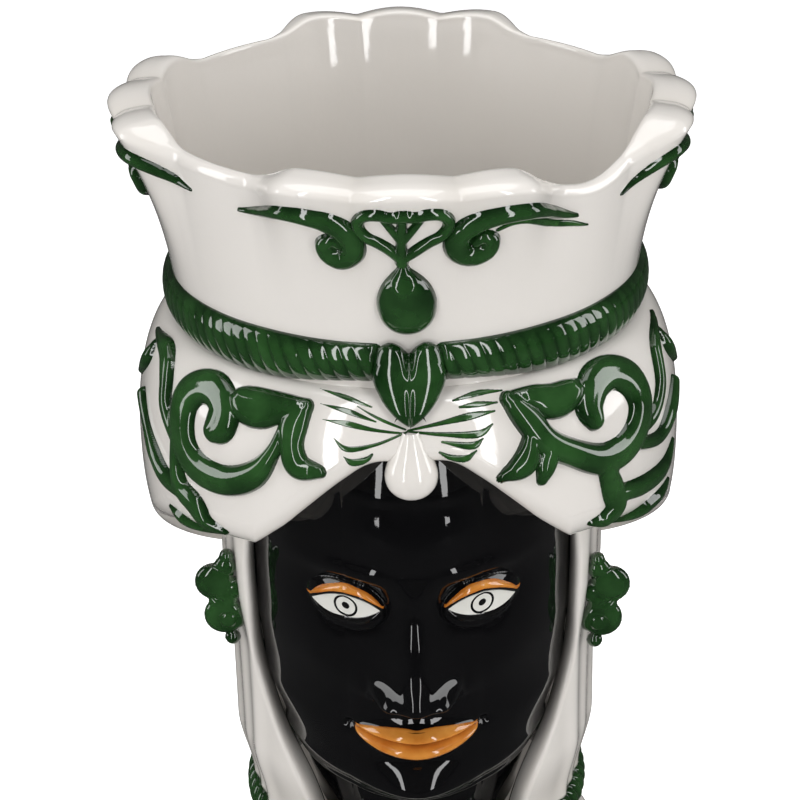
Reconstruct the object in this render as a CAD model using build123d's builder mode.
"""Face vase: a turbaned head that carries an open crown with rolled, lobed ears.

Millimetres. The vase stands on z = 0 with its axis on Z and its face towards -Y.
Azimuths are degrees round the axis from the front, positive towards +X.
"""

import os
from math import cos, degrees, exp, pi, radians, sin, sqrt

from build123d import *

# Heights of the stacked forms, from the ground up
base_height = 36.0
collar_height = 14.0
drape_height = 107.0
turban_height = 111.0
crown_height = 77.0

# Clay thicknesses, the clearance between curved seats, and one overrun for cuts
wall = 6.0
seat_clearance = 0.2
floor_thickness = 9.0
cut_overrun = 4.0

# Base with its foot ring
foot_radius = 80.0
foot_edge = 6.0
foot_bearing = 16.0
foot_recess = 3.0
base_waist_radius = 67.0
base_top_radius = 71.0

# Collar of rope between the base and the drape
collar_radius = 73.5

# Drape that hangs from the turban round the sides and back of the head
drape_foot_radius = 70.5
drape_belly_radius = 76.0
drape_top_radius = 78.5
belly_foot_share = 0.3
belly_top_share = 0.7
fold_relief = 1.6
fold_spread = 4.0
fold_azimuths = (62.0, 84.0, 110.0, 140.0, 170.0)

# Turban
turban_radius = 107.0
turban_roundness = 2.4

# Knot that hangs over the forehead
knot_length = 26.0
knot_radius = 9.5
knot_tip_level = 230.5
knot_reach = 100.0
knot_width_shares = (0, 0.42, 0.75, 0.94, 1.0, 0.95, 0.8, 0.62, 0.45, 0.3)
knot_level_shares = (0, 0.03, 0.11, 0.22, 0.34, 0.46, 0.6, 0.74, 0.88, 1)

# Rope band between the turban and the crown
band_height = 18.0
band_relief = 4.5
band_gap_azimuth = 6.0

# Heart-shaped leaf that joins the band's two ends
leaf_half_width = 12.5
leaf_height = 29.0
leaf_relief = 7.0
leaf_rise = 1.0
leaf_notch_share = 0.16
leaf_widest_share = 0.7
leaf_bevel = 2.5

# Crown
crown_root_radius = 89.0
crown_bore_radius = 92.0
crown_flare = 8.0
flare_shares = (0, 0.1, 0.35, 0.65, 1)
ear_reach = 13.0
ear_rise = 6.0
curl_shares = (0, 0, 0.05, 0.4, 1)
ear_shoulder_azimuth = 22.0
ear_end_azimuth = 35.0
lobe_azimuth = 20.0
lobe_reach = 3.0
lobe_dip = 2.0
lip_share = 0.95
lip_crown = 1.0
lip_round = 2.0
rim_tilt = 2.5
rim_tilt_azimuth = -150.0
rim_sag = 7.0
rim_sag_azimuth = 43.0
rim_sag_spread = 14.0

# Head: overall sizes, then the level of each feature above the chin as a share of the head
head_height = 180.0
chin_level = 87.0
face_half_width = 65.0
face_depth = 92.0
head_centre = 8.0
temple_plane = 15.0
temple_azimuth = 62.0
neck_half_width = 42.0
neck_depth = 60.0
section_pitch = 4.0
head_columns = 48
mouth_share = 0.19
eye_share = 0.5
brow_share = 0.567
nose_share = 0.29
nose_bridge_share = 0.13
nose_wing_share = 0.07
nose_wing_level_share = 0.42
nose_wing_level_spread_share = 0.14
nose_foot_share = 0.275
nose_foot_spread_share = 0.035
nose_slope_share = 0.25

# Raised strokes of slip on the crown and the turban
relief = 3.2
bow_relief = 2.0
drop_relief = 4.0
turban_stroke_width = 12.0
crown_stroke_width = 9.0
bow_width = 3.4
drop_width = 21.0
stroke_sink = 1.5
surface_step = 0.5
stroke_steps = 2
rise_share = 0.5
stroke_profile_shares = ((-1, 0), (-0.7, 0.7), (-0.25, 1), (0.25, 1), (0.7, 0.7), (1, 0))

# Earrings: a stem, an outer lobe and a lower lobe that ends in a tip
earring_thickness = 7.0
earring_edge = 1.2
earring_depth = 32.0
earring_reach = 87.0
earring_level = 129.0
earring_length = 42.0
earring_lobe_radius = 8.0
earring_stem = 5.0
right_earring_drop = 5.0

# Levels worked out from the heights
collar_bottom = base_height
collar_top = collar_bottom + collar_height
turban_bottom = collar_top + drape_height
crown_bottom = turban_bottom + turban_height
rim_level = crown_bottom + crown_height


def around(azimuth, radius, level):
    """The point at an azimuth, a radius and a level."""
    turn = radians(azimuth)
    return Vector(radius * sin(turn), -radius * cos(turn), level)


def eased(value):
    """0 below 0, 1 above 1, and an even S between."""
    held = min(max(value, 0), 1)
    return held * held * (3 - 2 * held)


def bell(value):
    """A rounded bump: 1 at 0, near 0 beyond 2."""
    return exp(-value * value)


def along(shares, values, share):
    """The value at a share, read from a table by an even S between its rows."""
    for lower, upper, start, end in zip(shares, shares[1:], values, values[1:]):
        if share <= upper:
            return start + (end - start) * eased((share - lower) / (upper - lower))
    return values[-1]


# The crown's outside, worked out from its control points
def ear_offset(azimuth):
    """Degrees from the nearest of the four ears."""
    return (azimuth + 45) % 90 - 45


def ear_weight(azimuth):
    """1 across an ear, 0 on the plain rim between two."""
    away = abs(ear_offset(azimuth))
    return eased((ear_end_azimuth - away) / (ear_end_azimuth - ear_shoulder_azimuth))


def crease(azimuth):
    """1 in the crease between two lobes of an ear, 0 on a lobe's crest."""
    return 1 - abs(cos(pi * ear_offset(azimuth) / lobe_azimuth))


def crown_top(azimuth):
    """The level of the uneven rim."""
    sag_turn = (azimuth - rim_sag_azimuth + 180) % 360 - 180
    raised = ear_weight(azimuth) * (ear_rise - lobe_dip * crease(azimuth))
    tilted = rim_tilt * cos(radians(azimuth - rim_tilt_azimuth))
    return rim_level + raised + tilted - rim_sag * bell(sag_turn / rim_sag_spread)


def crown_controls(azimuth):
    """The control points, as radius and level, of the crown's outside at an azimuth."""
    curl = ear_weight(azimuth) * (ear_reach - lobe_reach * crease(azimuth))
    height = lip_share * (crown_top(azimuth) - crown_bottom)
    last = len(flare_shares) - 1
    points = []
    for step in range(last + 1):
        radius = crown_root_radius + flare_shares[step] * crown_flare + curl_shares[step] * curl
        points.append((radius, crown_bottom + height * step / last))
    return points


def crown_surface(azimuth, share):
    """A point of the crown's outside, at a share of the way from its foot to its lip."""
    points = crown_controls(azimuth)
    while len(points) > 1:
        points = [
            (a[0] + share * (b[0] - a[0]), a[1] + share * (b[1] - a[1])) for a, b in zip(points, points[1:])
        ]
    return around(azimuth, points[0][0], points[0][1])


def turban_surface(azimuth, share):
    """A point of the turban's outside, at a share of the turban's height."""
    off_middle = abs(2 * share - 1)
    edge = drape_top_radius + share * (crown_root_radius - drape_top_radius)
    swell = sqrt(max(1 - off_middle**turban_roundness, 0))
    return around(azimuth, edge + (turban_radius - edge) * swell, turban_bottom + share * turban_height)


def radial_plane(azimuth):
    """The upright plane through the axis at an azimuth, with its x outwards and its y up."""
    return Plane(origin=(0, 0, 0), x_dir=around(azimuth, 1, 0), z_dir=around(azimuth - 90, 1, 0))


def crown_section(azimuth):
    """The crown's outside and lip cut through at an azimuth, closed inside the bore."""
    with BuildSketch(radial_plane(azimuth)) as section:
        with BuildLine():
            outside = Bezier(*crown_controls(azimuth))
            edge = outside @ 1
            shoulder = Vector(edge.X - lip_round / 2, crown_top(azimuth) - lip_round / 2)
            crest = Vector(edge.X - 2 * lip_round, crown_top(azimuth) + lip_crown)
            ridge = Vector(crown_root_radius - 2 * wall, crown_top(azimuth) - lip_round / 2)
            foot = Vector(ridge.X, crown_bottom)
            Polyline(edge, shoulder, crest, ridge, foot, outside @ 0)
        make_face()
    return section.sketch.faces()[0]


def crown_quarter(ear_azimuth):
    """A quarter of the crown, lofted round one ear through its crests and creases."""
    half = [lobe_azimuth * turn for turn in (0, 0.5, 1, 1.5)] + [ear_end_azimuth + 2, 45]
    turns = sorted(set(half) | {-turn for turn in half})
    return loft([crown_section(ear_azimuth + turn) for turn in turns])


# Opening round the face: half widths and levels up its outline
opening_width_shares = (0.56, 0.66, 0.84, 0.94, 0.96, 0.96, 0.89, 0.7, 0.4, 0.22)
opening_level_shares = (-0.21, -0.07, 0.07, 0.21, 0.35, 0.5, 0.65, 0.73, 0.83, 0.87)

# Inside of the base, the neck and the head: level, half width, front reach and back reach
opening_top = chin_level + opening_level_shares[-1] * head_height
bore_table = (
    (floor_thickness, base_waist_radius - 2 * wall, base_waist_radius - 2 * wall, base_waist_radius - 2 * wall),
    (collar_top, neck_half_width - wall, neck_depth - wall, drape_foot_radius - wall),
    (chin_level, face_half_width - 3 * wall, neck_depth - wall, drape_belly_radius - wall),
    (chin_level + mouth_share * head_height, face_half_width - 2 * wall, face_depth - 3 * wall, face_half_width),
    (opening_top, face_half_width - 2 * wall, face_depth - 3 * wall, face_half_width),
    (crown_bottom, crown_root_radius - wall, crown_root_radius - 2 * wall, crown_root_radius - wall),
    (crown_bottom + cut_overrun, crown_root_radius - wall, crown_root_radius - 2 * wall, crown_root_radius - wall),
)
with BuildPart() as bore:
    for level, half_width, front, back in bore_table:
        with BuildSketch(Plane.XY.offset(level)):
            with Locations((0, (back - front) / 2)):
                Ellipse(half_width, (front + back) / 2)
    loft(ruled=True)


# Head: the plain form's half widths and depths by level, then its features
outline_shares = (-0.21, -0.07, 0.0, 0.06, 0.19, 0.36, 0.5, 0.68, 0.92)
width_shares = (0.66, 0.74, 0.82, 0.88, 0.97, 1.0, 1.0, 0.99, 0.9)
depth_shares = (0.65, 0.66, 0.86, 0.95, 0.94, 0.965, 0.98, 1.0, 0.96)


# Features of the face: relief, distance from the middle, half width, level and half height
feature_shares = (
    (0.08, 0.18, 0.07, 0.305, 0.025),
    (0.09, 0, 0.3, 0.215, 0.025),
    (0.1, 0, 0.26, 0.162, 0.024),
    (-0.06, 0, 0.34, mouth_share, 0.012),
    (0.08, 0, 0.28, 0.06, 0.05),
    (-0.03, 0, 0.24, 0.125, 0.022),
    (-0.1, 0.38, 0.24, eye_share, 0.055),
    (0.07, 0.39, 0.15, eye_share, 0.03),
    (0.045, 0.36, 0.3, brow_share, 0.03),
    (0.05, 0.55, 0.22, 0.37, 0.07),
)


def face_relief(across, share):
    """How far the features stand out from the plain form, as a share of the face's half width."""
    wings = nose_wing_share * eased((nose_wing_level_share - share) / nose_wing_level_spread_share)
    nose = nose_share * bell(across / (nose_bridge_share + wings))
    nose *= eased((share - nose_foot_share) / nose_foot_spread_share)
    nose *= eased((brow_share - share) / nose_slope_share)
    return nose + sum(
        relief_share * bell((abs(across) - aside) / reach) * bell((share - level) / spread)
        for relief_share, aside, reach, level, spread in feature_shares
    )


def head_point(turn, level):
    """A point of the head's outside, by its turn from the front and its level."""
    share = (level - chin_level) / head_height
    half_width = face_half_width * along(outline_shares, width_shares, share)
    depth = face_depth * along(outline_shares, depth_shares, share) - head_centre
    across = half_width * sin(radians(turn))
    facing = cos(radians(turn))
    forward = depth * facing if facing > 0 else half_width * facing
    if facing > 0:
        forward += face_half_width * face_relief(across / face_half_width, share) * sqrt(facing)
    return Vector(across, -head_centre - forward)


def level_ring(points):
    """A closed smooth curve through points, with even spacing so that rings match."""
    even = [index / len(points) for index in range(len(points) + 1)]
    return add(Edge.make_spline(points, periodic=True, parameters=even))


with BuildPart() as head:
    turns = [column * 360 / head_columns for column in range(head_columns)]
    head_top = opening_top + 2 * wall
    for step in range(round((head_top - collar_top) / section_pitch) + 1):
        head_level = collar_top + step * section_pitch
        with BuildSketch(Plane.XY.offset(head_level)):
            with BuildLine():
                level_ring([head_point(turn, head_level) for turn in turns])
            make_face()
    loft(ruled=True)

# Opening of the turban and drape round the face
with BuildSketch(Plane.XZ) as opening_outline:
    with BuildLine():
        side = [
            (face_half_width * width, chin_level + share * head_height)
            for width, share in zip(opening_width_shares, opening_level_shares)
        ]
        right_side = Spline(*side)
        left_side = Spline(*[(-x, z) for x, z in side])
        Line(right_side @ 1, left_side @ 1)
        Line(right_side @ 0, left_side @ 0)
    make_face()
with BuildPart() as opening:
    with BuildSketch(Plane.XZ.offset(temple_plane)):
        add(opening_outline.sketch)
    extrude(amount=turban_radius)

with BuildPart() as face:
    add(opening.part)
    add(bore.part, mode=Mode.SUBTRACT)
    add(head.part, mode=Mode.INTERSECT)

# Hollow behind the face: the inside of the drape and the turban, from one temple round to the other
with BuildPart() as hollow:
    with BuildSketch(radial_plane(temple_azimuth)):
        with BuildLine():
            Polyline(
                (crown_root_radius / 2, collar_top + wall),
                (drape_foot_radius - 2 * wall, collar_top + wall),
                (drape_belly_radius - 2 * wall, collar_top + drape_height / 2),
                (drape_belly_radius - 2 * wall, turban_bottom),
                (turban_radius - 2 * wall, turban_bottom + turban_height / 3),
                (turban_radius - 2 * wall, turban_bottom + 2 * turban_height / 3),
                (crown_root_radius - wall / 2, crown_bottom),
                (crown_root_radius - wall / 2, crown_bottom + cut_overrun),
                (crown_root_radius / 2, crown_bottom + cut_overrun),
                close=True,
            )
        make_face()
    revolve(axis=Axis.Z, revolution_arc=360 - 2 * temple_azimuth)

with BuildPart() as turban_form:
    shares = [0.5 - 0.5 * cos(radians(turn)) for turn in range(0, 181, 20)]
    with BuildSketch(Plane.XZ):
        with BuildLine():
            swell = Spline(*[(-turban_surface(0, share).Y, turban_surface(0, share).Z) for share in shares])
            Polyline(swell @ 1, (0, crown_bottom), (0, turban_bottom), swell @ 0)
        make_face()
    revolve(axis=Axis.Z)
with BuildPart() as turban:
    add(turban_form.part)
    for space in (opening, bore, hollow):
        add(space.part, mode=Mode.SUBTRACT)

drape_table = (
    (collar_top, drape_foot_radius),
    (collar_top + drape_height * belly_foot_share, drape_belly_radius),
    (collar_top + drape_height * belly_top_share, drape_belly_radius),
    (turban_bottom, drape_top_radius),
)


def drape_radius(turn, plain):
    """The drape's radius, with its soft upright folds."""
    off = (turn + 180) % 360 - 180
    folds = sum(bell((abs(off) - azimuth) / fold_spread) for azimuth in fold_azimuths)
    return plain + fold_relief * folds - fold_relief


with BuildPart() as drape:
    for level, radius in drape_table:
        with BuildSketch(Plane.XY.offset(level)):
            with BuildLine():
                level_ring([around(turn, drape_radius(turn, radius), 0) for turn in range(0, 360, 4)])
            make_face()
    loft(ruled=True)
    for space in (opening, bore, hollow):
        add(space.part, mode=Mode.SUBTRACT)

ears = {"front": 0, "right": 90, "back": 180, "left": 270}
quarters = {azimuth: crown_quarter(azimuth) for azimuth in ears.values()}
with BuildPart() as crown_cup:
    for quarter in quarters.values():
        add(quarter)
    with BuildSketch(Plane.XZ):
        with BuildLine():
            above = rim_level + ear_rise + 2 * cut_overrun
            root = (crown_root_radius - wall, crown_bottom)
            Polyline((0, crown_bottom), root, (crown_bore_radius, above), (0, above), (0, crown_bottom))
        make_face()
    revolve(axis=Axis.Z, mode=Mode.SUBTRACT)

# Base: foot ring, cove and rounded shoulder under the collar
with BuildPart() as base:
    with BuildSketch(Plane.XZ):
        with BuildLine():
            rim_side = Line((foot_radius, 0), (foot_radius, foot_edge))
            cove = ThreePointArc(
                rim_side @ 1,
                (base_waist_radius, (foot_edge + base_height) / 2),
                (base_top_radius, base_height),
            )
            ring_inside = foot_radius - foot_bearing
            Polyline(cove @ 1, (0, base_height), (0, foot_recess), (ring_inside, foot_recess))
            Polyline((ring_inside, foot_recess), (ring_inside, 0), rim_side @ 0)
        make_face()
    revolve(axis=Axis.Z)
    add(bore.part, mode=Mode.SUBTRACT)

# Collar of rope between the base and the drape
with BuildPart() as collar_rope:
    with BuildSketch(Plane.XZ):
        with BuildLine():
            belly = ThreePointArc(
                (base_top_radius, collar_bottom),
                (collar_radius, (collar_bottom + collar_top) / 2),
                (drape_foot_radius, collar_top),
            )
            Polyline(belly @ 1, (0, collar_top), (0, collar_bottom), belly @ 0)
        make_face()
    revolve(axis=Axis.Z)
    add(bore.part, mode=Mode.SUBTRACT)


def band_half(start_azimuth):
    """Half of the rope band round the crown's foot, from its start to the other side."""
    top_share = band_height / (lip_share * (crown_top(0) - crown_bottom))
    foot = (seat_clearance - crown_surface(0, 0).Y, crown_bottom)
    top = (seat_clearance - crown_surface(0, top_share).Y, crown_bottom + band_height)
    with BuildPart() as half:
        with BuildSketch(radial_plane(start_azimuth)):
            with BuildLine():
                round_side = ThreePointArc(foot, (foot[0] + band_relief, crown_bottom + band_height / 2), top)
                Line(round_side @ 1, round_side @ 0)
            make_face()
        revolve(axis=Axis.Z, revolution_arc=180 - band_gap_azimuth)
    return half.part


with BuildPart() as rope_band_right:
    add(band_half(band_gap_azimuth))
with BuildPart() as rope_band_left:
    add(band_half(180))

# Leaf over the front joint of the rope band: a heart with bevelled sides, leaning on the turban
leaf_tip_level = crown_bottom + band_height + leaf_rise - leaf_height
leaf_foot_reach = -turban_surface(0, (leaf_tip_level - turban_bottom) / turban_height).Y + leaf_relief / 2
leaf_lean = leaf_foot_reach - crown_root_radius - leaf_relief
leaf_plane = Plane(
    origin=(0, -leaf_foot_reach, leaf_tip_level), x_dir=(1, 0, 0), z_dir=(0, -leaf_height, leaf_lean)
)
with BuildPart() as band_leaf:
    with BuildSketch(leaf_plane):
        with BuildLine():
            right_edge = Spline(
                (0, 0),
                (leaf_half_width, leaf_height * leaf_widest_share),
                (leaf_half_width / 2, leaf_height),
                (0, leaf_height * (1 - leaf_notch_share)),
            )
            mirror(right_edge, about=Plane.YZ)
        make_face()
    extrude(amount=-leaf_relief - wall / 2)
    chamfer(band_leaf.faces().sort_by(Axis((0, 0, 0), leaf_plane.z_dir))[-1].edges(), leaf_bevel)
    for neighbour in (turban, crown_cup, rope_band_left, rope_band_right):
        add(neighbour.part, mode=Mode.SUBTRACT)

# Knot: a turned drop that hangs from the turban's edge over the forehead
with BuildPart() as forehead_knot:
    with BuildSketch(Plane.XZ.offset(knot_reach)):
        with BuildLine():
            knot_outline = [
                (knot_radius * width, knot_tip_level + knot_length * share)
                for width, share in zip(knot_width_shares, knot_level_shares)
            ]
            Polyline(*knot_outline, (0, knot_tip_level + knot_length), close=True)
        make_face()
    revolve(axis=Axis((0, -knot_reach, 0), (0, 0, 1)))
    add(turban.part, mode=Mode.SUBTRACT)
    add(face.part, mode=Mode.SUBTRACT)


def stroke(surface, radius, height, width, proud, route_shares):
    """A raised stroke on a surface. A row of its route is azimuth, share up and share of the width."""
    course = Spline(
        *[(radians(azimuth) * radius, up * height, size * width) for azimuth, up, size in route_shares],
        mode=Mode.PRIVATE,
    )

    def on_surface(along_round, upwards):
        return surface(degrees(along_round / radius), upwards / height)

    steps = stroke_steps * (len(route_shares) - 1)
    sections = []
    for step in range(steps + 1):
        here = course @ (step / steps)
        ahead = (course % (step / steps)) * surface_step
        start = on_surface(here.X - ahead.X, here.Y - ahead.Y)
        end = on_surface(here.X + ahead.X, here.Y + ahead.Y)
        round_the_axis = on_surface(here.X + surface_step, here.Y) - on_surface(here.X - surface_step, here.Y)
        up_the_wall = on_surface(here.X, here.Y + surface_step) - on_surface(here.X, here.Y - surface_step)
        outward = round_the_axis.cross(up_the_wall)
        plane = Plane(on_surface(here.X, here.Y), x_dir=outward.cross(end - start), z_dir=end - start)
        rise = min(proud, here.Z * rise_share)
        crest = [(across * here.Z / 2, up * rise) for across, up in stroke_profile_shares]
        with BuildSketch(plane, mode=Mode.PRIVATE) as section:
            with BuildLine():
                Polyline((-here.Z / 2, -stroke_sink), *crest, (here.Z / 2, -stroke_sink), close=True)
            make_face()
        sections.append(section.sketch.faces()[0])
    return loft(sections, ruled=True, mode=Mode.PRIVATE)


def turban_strokes(*routes):
    """Strokes on the turban that run into one another, as one piece."""
    with BuildPart() as strokes:
        for route in routes:
            add(stroke(turban_surface, turban_radius, turban_height, turban_stroke_width, relief, route))
        add(turban_form.part, mode=Mode.SUBTRACT)
    return strokes.part


def crown_strokes(ear_azimuth, width, proud, *routes):
    """Strokes on the crown that run into one another, as one piece; azimuths count from an ear."""
    with BuildPart() as strokes:
        for route in routes:
            turned = [(azimuth + ear_azimuth, up, size) for azimuth, up, size in route]
            add(stroke(crown_surface, crown_root_radius, crown_height, width, proud, turned))
        add(quarters[ear_azimuth], mode=Mode.SUBTRACT)
    return strokes.part


# Turban: the large scroll with its leaves, branch and stems, on the left and on the right
left_ring_shares = (
    (-25, 0.94, 0.23),
    (-28, 0.80, 0.35),
    (-32, 0.71, 0.65),
    (-39, 0.65, 0.77),
    (-47, 0.65, 0.77),
    (-52, 0.71, 0.71),
    (-55, 0.79, 0.71),
    (-54, 0.88, 0.71),
    (-50, 0.935, 0.65),
    (-44.5, 0.94, 0.77),
    (-41, 0.89, 0.88),
    (-41.5, 0.84, 0.9),
    (-43, 0.80, 0.6),
)
left_upper_leaf_shares = (
    (-22, 0.95, 0.35),
    (-28, 0.935, 0.65),
    (-32, 0.92, 0.88),
    (-36, 0.92, 0.8),
    (-39, 0.945, 0.15),
)
left_inner_leaf_shares = (
    (-22, 0.95, 0.35),
    (-24, 0.9, 0.65),
    (-24, 0.83, 0.55),
    (-22.5, 0.77, 0.6),
    (-18, 0.76, 0.3),
)
left_branch_shares = (
    (-54, 0.72, 0.4),
    (-54, 0.62, 0.4),
    (-52.5, 0.55, 0.55),
    (-48, 0.515, 0.58),
    (-45, 0.47, 0.4),
    (-41, 0.45, 0.18),
)
left_side_stem_shares = (
    (-79, 0.95, 0.12),
    (-66, 0.94, 0.47),
    (-62, 0.88, 0.42),
    (-60, 0.8, 0.38),
    (-54, 0.71, 0.35),
)
left_far_stem_shares = (
    (-75, 0.74, 0.35),
    (-70, 0.67, 0.3),
    (-64, 0.6, 0.42),
    (-59, 0.55, 0.45),
    (-52.5, 0.54, 0.42),
)
right_ring_shares = (
    (21, 0.96, 0.35),
    (24, 0.9, 0.6),
    (28, 0.81, 0.65),
    (33, 0.755, 0.6),
    (41, 0.69, 0.75),
    (48, 0.68, 0.75),
    (54, 0.73, 0.71),
    (57, 0.81, 0.71),
    (55, 0.9, 0.71),
    (49, 0.955, 0.71),
    (42.5, 0.94, 0.85),
    (39.5, 0.88, 0.71),
    (40, 0.83, 0.45),
)
right_upper_leaf_shares = (
    (21, 0.965, 0.23),
    (27, 0.95, 0.53),
    (31, 0.925, 0.77),
    (35, 0.93, 0.65),
    (38, 0.955, 0.18),
)
right_branch_shares = (
    (41, 0.68, 0.4),
    (43.5, 0.57, 0.65),
    (44.5, 0.5, 0.6),
    (41.5, 0.47, 0.42),
    (38, 0.47, 0.15),
)
right_inner_leaf_shares = ((25, 0.87, 0.3), (24, 0.82, 0.4), (22.5, 0.76, 0.6), (18, 0.73, 0.25))
right_lower_leaf_shares = ((29, 0.8, 0.3), (27.5, 0.75, 0.5), (26, 0.69, 0.25))
right_side_stem_shares = (
    (79, 0.97, 0.12),
    (68, 0.91, 0.35),
    (64.5, 0.8, 0.35),
    (59.5, 0.73, 0.3),
    (54, 0.71, 0.25),
)
right_far_stem_shares = ((75, 0.74, 0.33), (68, 0.68, 0.42), (61, 0.64, 0.35), (51, 0.68, 0.3))
low_stem_shares = ((71, 0.55, 0.12), (64, 0.51, 0.35), (55, 0.51, 0.47), (45, 0.54, 0.42))
left_low_stroke_shares = ((-59, 0.43, 0.12), (-55, 0.41, 0.33), (-47, 0.39, 0.12))
right_low_stroke_shares = ((68, 0.42, 0.12), (58, 0.39, 0.42), (49, 0.38, 0.12))
left_far_leaf_shares = ((-76, 0.93, 0.1), (-76, 0.88, 0.35), (-81, 0.79, 0.23))
right_far_leaf_shares = ((76, 0.93, 0.1), (76, 0.88, 0.35), (81, 0.79, 0.23))
turban_scroll_left = turban_strokes(
    left_ring_shares,
    left_upper_leaf_shares,
    left_inner_leaf_shares,
    left_branch_shares,
    left_side_stem_shares,
    left_far_stem_shares,
)
turban_scroll_right = turban_strokes(
    right_ring_shares,
    right_upper_leaf_shares,
    right_inner_leaf_shares,
    right_lower_leaf_shares,
    right_branch_shares,
    low_stem_shares,
    right_side_stem_shares,
    right_far_stem_shares,
)

# Crown: under each ear a bow between two scrolls, and below the front bow a hanging bud
left_scroll_shares = (
    (-34, 0.83, 0.12),
    (-29, 0.84, 0.33),
    (-24, 0.86, 0.57),
    (-19, 0.84, 0.7),
    (-15, 0.8, 0.82),
    (-11.7, 0.74, 0.88),
    (-11, 0.665, 0.88),
    (-13.8, 0.605, 0.78),
    (-17.3, 0.63, 0.55),
    (-17.2, 0.69, 0.33),
)
right_scroll_shares = (
    (38, 0.74, 0.12),
    (31, 0.8, 0.36),
    (24, 0.84, 0.5),
    (18, 0.855, 0.62),
    (14, 0.82, 0.8),
    (11.2, 0.75, 0.88),
    (10.5, 0.67, 0.88),
    (13.3, 0.61, 0.78),
    (16.8, 0.635, 0.55),
    (16.7, 0.69, 0.33),
)
left_loop_shares = (
    (-1.5, 0.66, 0.8),
    (-3.5, 0.7, 1),
    (-6, 0.75, 1),
    (-8.2, 0.79, 1),
    (-8.8, 0.85, 1),
    (-7.6, 0.9, 1),
    (-4.5, 0.915, 1),
    (0, 0.9, 1),
)
right_loop_shares = (
    (-0.5, 0.66, 0.8),
    (2, 0.7, 1),
    (5, 0.745, 1),
    (7.4, 0.79, 1),
    (8.2, 0.84, 1),
    (7, 0.89, 1),
    (4, 0.91, 1),
    (-1, 0.9, 1),
)
bow_stem_shares = ((-0.6, 0.905, 0.9), (-0.9, 0.8, 1), (-1, 0.72, 1), (-1, 0.63, 1.3))
left_tie_shares = ((-4.6, 0.87, 0.6), (-3, 0.815, 0.9), (-1, 0.75, 0.9))
right_tie_shares = ((3, 0.865, 0.6), (1, 0.81, 0.9), (-1, 0.74, 0.9))
drop_shares = (
    (-0.5, 0.575, 0.14),
    (-0.5, 0.52, 0.35),
    (0, 0.45, 0.85),
    (0, 0.39, 1),
    (0, 0.32, 0.85),
    (0, 0.27, 0.5),
)
crown_pieces = {}
for ear_name, ear_azimuth in ears.items():
    crown_pieces[f"{ear_name}_scroll_left"] = crown_strokes(
        ear_azimuth, crown_stroke_width, relief, left_scroll_shares
    )
    crown_pieces[f"{ear_name}_scroll_right"] = crown_strokes(
        ear_azimuth, crown_stroke_width, relief, right_scroll_shares
    )
    crown_pieces[f"{ear_name}_bow"] = crown_strokes(
        ear_azimuth,
        bow_width,
        bow_relief,
        left_loop_shares,
        right_loop_shares,
        bow_stem_shares,
        left_tie_shares,
        right_tie_shares,
    )
crown_pieces["front_drop"] = crown_strokes(0, drop_width, drop_relief, drop_shares)


def earring(side, tip_level):
    """A flat trefoil with rounded edges, its inner edge on the drape."""
    lobe_x = earring_reach - earring_lobe_radius
    with BuildPart() as flat:
        with BuildSketch(Plane.XZ.offset(earring_depth)):
            outer_level = tip_level + earring_length - 2 * earring_lobe_radius + earring_stem / 2
            lower_level = outer_level - 2 * earring_lobe_radius + earring_edge / 2
            stem_top = tip_level + earring_length - earring_stem / 2
            with Locations((side * lobe_x, outer_level)):
                Circle(earring_lobe_radius)
            with Locations((side * (lobe_x - earring_stem / 2), lower_level)):
                Circle(earring_lobe_radius)
            with BuildLine():
                Polyline(
                    (side * (lobe_x - earring_lobe_radius), tip_level),
                    (side * (lobe_x + earring_stem / 2), lower_level - earring_lobe_radius / 2),
                    (side * lobe_x, outer_level),
                    (side * (lobe_x - earring_stem), stem_top),
                    (side * (lobe_x - 2 * earring_stem), stem_top),
                    (side * (lobe_x - earring_lobe_radius - earring_stem), tip_level + earring_lobe_radius),
                    close=True,
                )
            make_face()
        extrude(amount=earring_thickness / 2, both=True)
        chamfer(flat.faces().sort_by(Axis.Y)[0].edges(), earring_edge)
        add(drape.part, mode=Mode.SUBTRACT)
        add(turban.part, mode=Mode.SUBTRACT)
    return flat.part


pieces = {
    "base": base.part,
    "collar_rope": collar_rope.part,
    "face": face.part,
    "drape": drape.part,
    "turban": turban.part,
    "forehead_knot": forehead_knot.part,
    "crown_cup": crown_cup.part,
    "rope_band_left": rope_band_left.part,
    "rope_band_right": rope_band_right.part,
    "band_leaf": band_leaf.part,
    "turban_scroll_left": turban_scroll_left,
    "turban_scroll_right": turban_scroll_right,
    "turban_low_stroke_left": turban_strokes(left_low_stroke_shares),
    "turban_low_stroke_right": turban_strokes(right_low_stroke_shares),
    "turban_far_leaf_left": turban_strokes(left_far_leaf_shares),
    "turban_far_leaf_right": turban_strokes(right_far_leaf_shares),
    "earring_left": earring(-1, earring_level),
    "earring_right": earring(1, earring_level - right_earring_drop),
    **crown_pieces,
}
os.makedirs("parts", exist_ok=True)
for name, piece in pieces.items():
    piece.label = name
    export_step(piece, f"parts/{name}.step")
